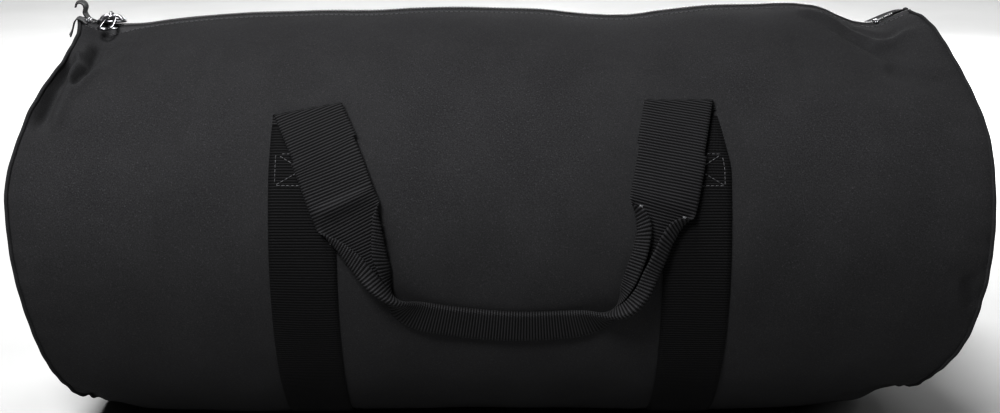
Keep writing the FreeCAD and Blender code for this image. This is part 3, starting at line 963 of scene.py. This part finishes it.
def stitchPlaces(points, outward, stitch, gap, width, height):
    # stitches of equal length along a line of points, each with its axes on the cloth
    length = np.concatenate([[0], np.cumsum(np.linalg.norm(np.diff(points, axis=0), axis=1))])
    start = np.arange(gap / 2, length[-1] - stitch, stitch + gap)

    def at(values, where):
        return np.stack([np.interp(where, length, values[:, k]) for k in range(3)], -1)

    first, second = at(points, start), at(points, start + stitch)
    up = unit(at(outward, start + stitch / 2))
    along = second - first
    across = unit(np.cross(up, along)) * width
    up = unit(np.cross(along, across)) * height
    return np.stack([along, across, up, first], 1), start + stitch / 2, length


stitchShape = grainShape(
    [(0, 0.35, 0.2), (0.15, 0.9, 0.85), (0.5, 1, 1), (0.85, 0.9, 0.85), (1, 0.35, 0.2)], 6)
hemStitching = {"stitch": 0.0030, "gap": 0.0011, "width": 0.00038, "height": 0.00034, "fromEdge": 0.0028}


def makeHemStitches(side):
    # a row beside each canvas edge, and a row that holds the coil to its tape
    name = sideName(side)
    sizes = hemStitching
    x = np.linspace(-bag["halfLength"] + 0.004, bag["halfLength"] - 0.004, 1500)
    turn = hemTurn(x) - math.degrees(sizes["fromEdge"] / bag["radius"])
    outward = outwardOf(x, turn, side)
    line = barrelSurface(x, turn, side) + outward * 0.0001
    places, middle, length = stitchPlaces(line, outward, sizes["stitch"], sizes["gap"],
                                          sizes["width"], sizes["height"])
    share = mouthShare(np.interp(middle, length, x))
    coilX = np.linspace(zipper["start"] + 0.004, zipper["finish"] - 0.004, 1200)
    coilLine = np.stack([coilX, np.full(len(coilX), side * 0.0052), coilHeight(coilX)], -1)
    coilUp = np.tile([0, side * 0.3, 1.0], (len(coilX), 1))
    more, moreMiddle, moreLength = stitchPlaces(coilLine, coilUp, 0.0018, 0.0009, 0.0003, 0.0003)
    moreShare = mouthShare(np.interp(moreMiddle, moreLength, coilX))
    points, quads, caps = copiesOf(*stitchShape, np.concatenate([places, more]))
    piece = faceOutward(makePiece(name + "HemStitches", points, quads, thread, extra=caps))
    blendFlap(piece, side, np.repeat(np.concatenate([share, moreShare]), len(stitchShape[0])))


def makeStops():
    # metal staples bent over the coil: half an ellipse of round wire at each place
    parts, quads, caps, start = [], [], [], 0
    for place in zipper["stopPlaces"]:
        turn = np.radians(np.linspace(-112, 112, 26))
        wire = np.stack([np.full(26, place), 0.0050 * np.sin(turn),
                         coilHeight(place) - 0.0002 + 0.0016 * np.cos(turn)], -1)
        tube = tubeAlong(wire, 0.00085 * np.ones(26), 8, closed=False)
        parts.append(tube.reshape(-1, 3))
        quads.append(gridFaces(26, 8, closeColumns=True, start=start))
        caps += endCaps(26, 8, start)
        start += 26 * 8
    piece = faceOutward(makePiece("zipStops", np.concatenate(parts), np.concatenate(quads),
                                  gunmetal, extra=caps))
    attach(piece, "bag")
    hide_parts("zip_stop_left", "zip_stop_right")


for side in (-1, 1):
    makeTape(side)
    makeTeeth(side)
    makeHemStitches(side)
makeStops()
print("zipper made")

# slider, its bridge and the pull
slider = {
    "length": sliderHigh.x - sliderLow.x,
    "width": sliderHigh.y - sliderLow.y,
    "plate": 0.0020,
    "rounding": 0.0007,
    "crown": 0.0005,
    "bridgeReach": 0.0088,
    "bridgeWire": 0.0013,
    "eyeRadius": 0.0026,
    "ringWire": 0.0013,
}
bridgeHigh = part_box("slider_bridge")[1]
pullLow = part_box("zip_pull")[0]
bridgeZ = bridgeHigh.z - 0.0011


def plateGrid(z, top):
    # a shield outline, x = L/2 cos, y = W/2 sin (1 + 0.22 cos) flattened by the power 0.7, stacked in
    # shrinking loops so that its rim is rounded and its outer face is slightly crowned
    sizes = slider
    turn = np.linspace(0, 2 * np.pi, 72, endpoint=False)
    x = sizes["length"] / 2 * np.sign(np.cos(turn)) * np.abs(np.cos(turn)) ** 0.75
    sine = np.sin(turn)
    y = sizes["width"] / 2 * np.sign(sine) * np.abs(sine) ** 0.7 * (0.86 - 0.14 * np.cos(turn))
    inset = np.array([1.0, 0.6, 0.25, 0.05, 0, 0, 0.05, 0.25, 0.6, 1.0]) * sizes["rounding"]
    level = np.array([0, 0.04, 0.14, 0.3, 0.4, 0.6, 0.7, 0.86, 0.96, 1.0]) * sizes["plate"]
    scales = np.concatenate([[0.02, 0.3, 0.6, 0.85], np.ones(len(level)), [0.85, 0.6, 0.3, 0.02]])
    heights = np.concatenate([np.full(4, level[0]), level, np.full(4, level[-1])])
    insets = np.concatenate([np.full(4, inset[0]), inset, np.full(4, inset[-1])])
    shrinkX = (1 - 2 * insets / sizes["length"])[:, None] * scales[:, None]
    shrinkY = (1 - 2 * insets / sizes["width"])[:, None] * scales[:, None]
    order = np.arange(len(scales))
    crown = sizes["crown"] * (1 - scales**2) * (order > 8 if top else -(order < 8).astype(float))
    zs = z + heights[:, None] + crown[:, None] + 0 * turn[None]
    return np.stack([sliderX + x[None] * shrinkX, y[None] * shrinkY, zs], -1)


def makeSlider():
    grids = [plateGrid(sliderHigh.z - slider["plate"], True), plateGrid(sliderLow.z, False)]
    turn = np.linspace(0, 2 * np.pi, 24, endpoint=False)
    levels = np.linspace(sliderLow.z + 0.001, sliderHigh.z - 0.001, 6)
    post = np.stack(np.broadcast_arrays(sliderX - 0.0045 + 0.0035 * np.cos(turn)[None],
                                        0.0007 * np.sin(turn)[None],
                                        levels[:, None]), -1)
    points, quads, caps, start = [], [], [], 0
    for grid in grids + [post]:
        rows, around = grid.shape[:2]
        points.append(grid.reshape(-1, 3))
        quads.append(gridFaces(rows, around, closeColumns=True, start=start))
        caps += endCaps(rows, around, start)
        start += rows * around
    piece = faceOutward(makePiece("sliderBody", np.concatenate(points), np.concatenate(quads),
                                  gunmetal, extra=caps))
    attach(piece, "slider")
    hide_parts("slider_body")

    # the bridge is an arch with a flat back: z rises as 1 - (2t)^6 between its two feet
    t = np.linspace(-0.5, 0.5, 48)
    x = sliderX + 2 * slider["bridgeReach"] * t
    z = sliderHigh.z - 0.0006 + (bridgeZ - sliderHigh.z + 0.0006) * (1 - np.abs(2 * t) ** 5)
    wire = np.stack([x, 0 * t, z], -1)
    girth = slider["bridgeWire"] * (1 + 0.5 * np.abs(2 * t) ** 4)
    tube = tubeAlong(wire, girth, 14, closed=False)
    bridge = faceOutward(makePiece("sliderBridge", tube, gridFaces(48, 14, closeColumns=True), gunmetal,
                                   extra=endCaps(48, 14)))
    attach(bridge, "slider")
    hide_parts("slider_bridge")


def makePull():
    # an eye round the bridge and an open rounded frame, drawn flat and tilted down towards the canvas
    down = math.atan2(bridgeZ - pullLow.z - 0.0012, -pullLow.y)
    length = math.hypot(bridgeZ - pullLow.z - 0.0012, pullLow.y)
    turn = np.linspace(0, 2 * np.pi, 96, endpoint=False)
    cosine, sine = np.cos(turn), np.sin(turn)
    bow = np.sign(cosine) * np.abs(cosine) ** 0.62
    half = (length - slider["eyeRadius"] - 0.0016) / 2
    reach = slider["eyeRadius"] + 0.0008 + half + half * bow
    side = (0.0050 * np.sign(sine) * np.abs(sine) ** 0.72 * (0.80 + 0.24 * (reach / length))
            + 0.0007 * (reach / length))
    frame = np.stack([side, -reach, 0.0006 * np.cos(2 * turn)], -1)
    ring = tubeAlong(frame, slider["ringWire"] * (1 + 0.28 * (reach / length) ** 4), 12)
    flatten = np.array([1, 1, 0.82])
    eyePath = np.stack([0 * turn, slider["eyeRadius"] * cosine, slider["eyeRadius"] * sine], -1)
    eye = tubeAlong(eyePath, 0.00095, 10)
    tilt = np.array([[1, 0, 0], [0, math.cos(down), -math.sin(down)], [0, math.sin(down), math.cos(down)]])
    points = np.concatenate([(ring * flatten).reshape(-1, 3), (eye * [1.5, 1, 1]).reshape(-1, 3)])
    points = points @ tilt.T + [sliderX, 0, bridgeZ]
    quads = np.concatenate([gridFaces(96, 12, True, True), gridFaces(96, 10, True, True, start=96 * 12)])
    piece = faceOutward(makePiece("zipPull", points, quads, gunmetal))
    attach(piece, "pull")
    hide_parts("zip_pull")


makeSlider()
makePull()
print("slider and pull made")

# the two loose tails of the tape at the left end: steps in x and z from the end of the zipper, in mm
tails = {
    "back": ((5, -3), (2.5, 0.5), (0.5, 4.5), (1.5, 8.5), (0.5, 12.0), (-3.0, 13.6), (-6.2, 12.4),
             (-7.6, 9.6)),
    "front": ((5, -3), (1.5, 0.2), (-2.0, 1.6), (-4.8, -0.6), (-6.6, -5.0), (-8.4, -9.6), (-10.4, -13.4)),
    "width": 0.0105,
    "thickness": 0.0008,
    "fray": 0.0005,
}


def makeTail(side):
    # a flat tape carried along a curve, its width shrinking towards a slanted, slightly frayed tip
    name = sideName(side)
    knots = np.array(tails[name], float) / 1000
    t = np.linspace(0, len(knots) - 1, 70)
    line = throughPoints(np.arange(len(knots)), knots, t)
    tangent = unit(np.gradient(line, axis=0))
    c = np.linspace(0, 1, 9)[None, :]
    shareAlong = (t / t[-1])[:, None]
    narrow = 1 - 0.25 * smoothStep(0.6, 1.0, shareAlong)
    y = side * (0.0012 + tails["width"] * c * narrow)
    curl = 0.0016 * np.sin(c * 2.6 + side) * shareAlong
    root = np.array([zipper["start"] - 0.0015, coilHeight(zipper["start"])])
    fray = tails["fray"] * np.sin(c * 43) * smoothStep(0.93, 1.0, shareAlong)
    x = root[0] + line[:, :1] + tangent[:, :1] * fray - tangent[:, 1:] * curl
    z = root[1] + line[:, 1:] + tangent[:, 1:] * fray + tangent[:, :1] * curl
    face = np.stack([-tangent[:, 1:] + 0 * c, 0 * y, tangent[:, :1] + 0 * c], -1) * tails["thickness"] / 2
    middle = np.stack([x, y, z], -1)
    loop = np.concatenate([middle + face, (middle - face)[:, ::-1]], 1)
    rows, around = loop.shape[:2]
    caps = endCaps(rows, around)
    uv = np.stack(np.broadcast_arrays(t[:, None] * 0.004, np.linspace(0, 0.02, around)[None]), -1)
    piece = faceOutward(makePiece(name + "TapeTail", loop, gridFaces(rows, around, closeColumns=True),
                                  tailTape, uv, extra=caps))
    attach(piece, "bag")
    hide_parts(name + "_tape_tail")


for side in (-1, 1):
    makeTail(side)
print("tape tails made")

# stitching on the webbing
webbingStitches = {
    "inset": 0.0050,
    "low": 22.0,
    "high": 30.5,
    "stitch": 0.0028,
    "gap": 0.0008,
    "width": 0.00045,
    "height": 0.00050,
    "tackLength": 0.0030,
    "tackPitch": 0.0007,
    "tackCount": 6,
}


def makeBoxStitches():
    # a box and a cross on each strap, just above its ribs
    sizes = webbingStitches
    half = webbingWidth / 2 - sizes["inset"]
    every = []
    for end in (-1, 1):
        for side in (-1, 1):
            corners = [(-half, sizes["low"]), (half, sizes["low"]),
                       (half, sizes["high"]), (-half, sizes["high"])]
            for a, b in ((0, 1), (1, 2), (2, 3), (3, 0), (0, 2), (1, 3)):
                t = np.linspace(0.02, 0.98, 60)
                turn = corners[a][1] * (1 - t) + corners[b][1] * t
                x = end * strapOffset + corners[a][0] * (1 - t) + corners[b][0] * t + strapLean(turn, end)
                outward = outwardOf(x, turn, side)
                line = (barrelSurface(x, turn, side, straps["lift"])
                        + outward * (webbingSizes["thickness"] / 2 + 0.00022))
                every.append(stitchPlaces(line, outward, sizes["stitch"], sizes["gap"],
                                          sizes["width"], sizes["height"])[0])
    points, quads, caps = copiesOf(*stitchShape, np.concatenate(every))
    piece = faceOutward(makePiece("boxStitches", points, quads, thread, extra=caps))
    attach(piece, "bag")
    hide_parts("box_stitches")


def makeTacks(side):
    # short stitches side by side across each folded edge of the handle, in thread whose lighter colour is a
    # painted highlight
    name = sideName(side)
    sizes = webbingStitches
    centre, normal, travel = handleGrids[side]
    half = handle["columns"]
    every = []
    for share, columnShare in handle["tacks"]:
        row = int(share * (len(travel) - 1))
        column = int(half - 1 + columnShare * (half - 1))
        origin, face = centre[row, column], normal[row, column]
        along = unit(centre[row + 4, column] - centre[row - 4, column])
        across = unit(np.cross(face, along))
        for flip in (1, -1):
            k = (np.arange(sizes["tackCount"]) - sizes["tackCount"] / 2) * sizes["tackPitch"]
            first = origin + along * k[:, None] - across * sizes["tackLength"] / 2
            first = first + flip * face * (webbingSizes["thickness"] / 2 + 0.0003)
            axes = np.stack([np.tile(across * sizes["tackLength"], (len(k), 1)),
                             np.tile(along * 0.00036, (len(k), 1)),
                              np.tile(face * 0.0004, (len(k), 1)), first], 1)
            every.append(axes)
    points, quads, caps = copiesOf(*stitchShape, np.concatenate(every))
    piece = faceOutward(makePiece(name + "Bartacks", points, quads, threadWithPaintedGlint, extra=caps))
    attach(piece, name + "_grab")
    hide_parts(name + "_bartacks")


makeBoxStitches()
for side in (-1, 1):
    makeTacks(side)
print("stitching made")

# light, floor and camera
studio = {
    "sunStrength": 4.5,
    "sunElevation": 74.0,
    "sunFromLeft": 70.0,
    "sunSoftness": 24.0,
    "worldStrength": 0.05,
    "keyEnergy": 22.0,
    "keyPlace": (-0.36, -0.98, 0.98),
    "backEnergy": 34.0,
    "backPlace": (0.45, 1.9, 0.95),
    "sweepEnergy": 50.0,
    "rightEnergy": 16.0,
    "rightPlace": (1.9, 0.25, 0.8),
    "floorReach": 40.0,
    "viewElevation": 15.0,
    "viewDistance": 1.285,
    "lens": 54.1,
    "aim": (0.0, 0.0, 0.1663),
    "contrast": 0.62,
}


def addLight(name, kind, energy, place, aim):
    light = bpy.data.lights.new(name, kind)
    light.energy = energy
    lamp = bpy.data.objects.new(name, light)
    bpy.context.scene.collection.objects.link(lamp)
    lamp.location = place
    lamp.rotation_euler = (Vector(aim) - lamp.location).to_track_quat("-Z", "Y").to_euler()
    return light


def makeStudio():
    floorMesh = bpy.data.meshes.new("floor")
    reach = studio["floorReach"]
    corners = [(-reach, -reach, 0), (reach, -reach, 0), (reach, reach, 0), (-reach, reach, 0)]
    floorMesh.from_pydata(corners, [], [(0, 1, 2, 3)])
    floor = bpy.data.objects.new("floor", floorMesh)
    floorMesh.materials.append(
        speckledMaterial("paleFloor", (0.40, 0.40, 0.40), (0.42, 0.42, 0.42), 3, 0.9, bump=0.0))
    bpy.context.scene.collection.objects.link(floor)
    world = bpy.data.worlds.new("studio")
    world.use_nodes = True
    world.node_tree.nodes["Background"].inputs[0].default_value = (1, 1, 1, 1)
    world.node_tree.nodes["Background"].inputs[1].default_value = studio["worldStrength"]
    bpy.context.scene.world = world
    rise, left = math.radians(studio["sunElevation"]), math.radians(studio["sunFromLeft"])
    way = (-3 * math.cos(rise) * math.sin(left), -3 * math.cos(rise) * math.cos(left), 3 * math.sin(rise))
    addLight("keySun", "SUN", studio["sunStrength"], way,
             (0, 0, 0)).angle = math.radians(studio["sunSoftness"])
    addLight("keyLamp", "AREA", studio["keyEnergy"], studio["keyPlace"], (0, 0, 0.2)).size = 0.30
    addLight("backLamp", "AREA", studio["backEnergy"], studio["backPlace"], (0, 0, 0.15)).size = 0.9
    addLight("rightLamp", "AREA", studio["rightEnergy"], studio["rightPlace"], (0.3, 0, 0.15)).size = 0.8
    addLight("sweepLamp", "AREA", studio["sweepEnergy"], (0, 1.3, 1.5), (0, 3.1, 0)).size = 1.2


def makeCamera():
    camera = bpy.data.objects.new("camera", bpy.data.cameras.new("camera"))
    bpy.context.scene.collection.objects.link(camera)
    rise = math.radians(studio["viewElevation"])
    back = Vector((0, -math.cos(rise), math.sin(rise)))
    camera.location = Vector(studio["aim"]) + back * studio["viewDistance"]
    camera.rotation_euler = (-back).to_track_quat("-Z", "Y").to_euler()
    camera.data.lens = studio["lens"]
    camera.data.sensor_width = 36
    bpy.context.scene.camera = camera
    bpy.context.scene.view_settings.view_transform = "Standard"
    bpy.context.scene.view_settings.gamma = studio["contrast"]


makeStudio()
makeCamera()
print("studio made")
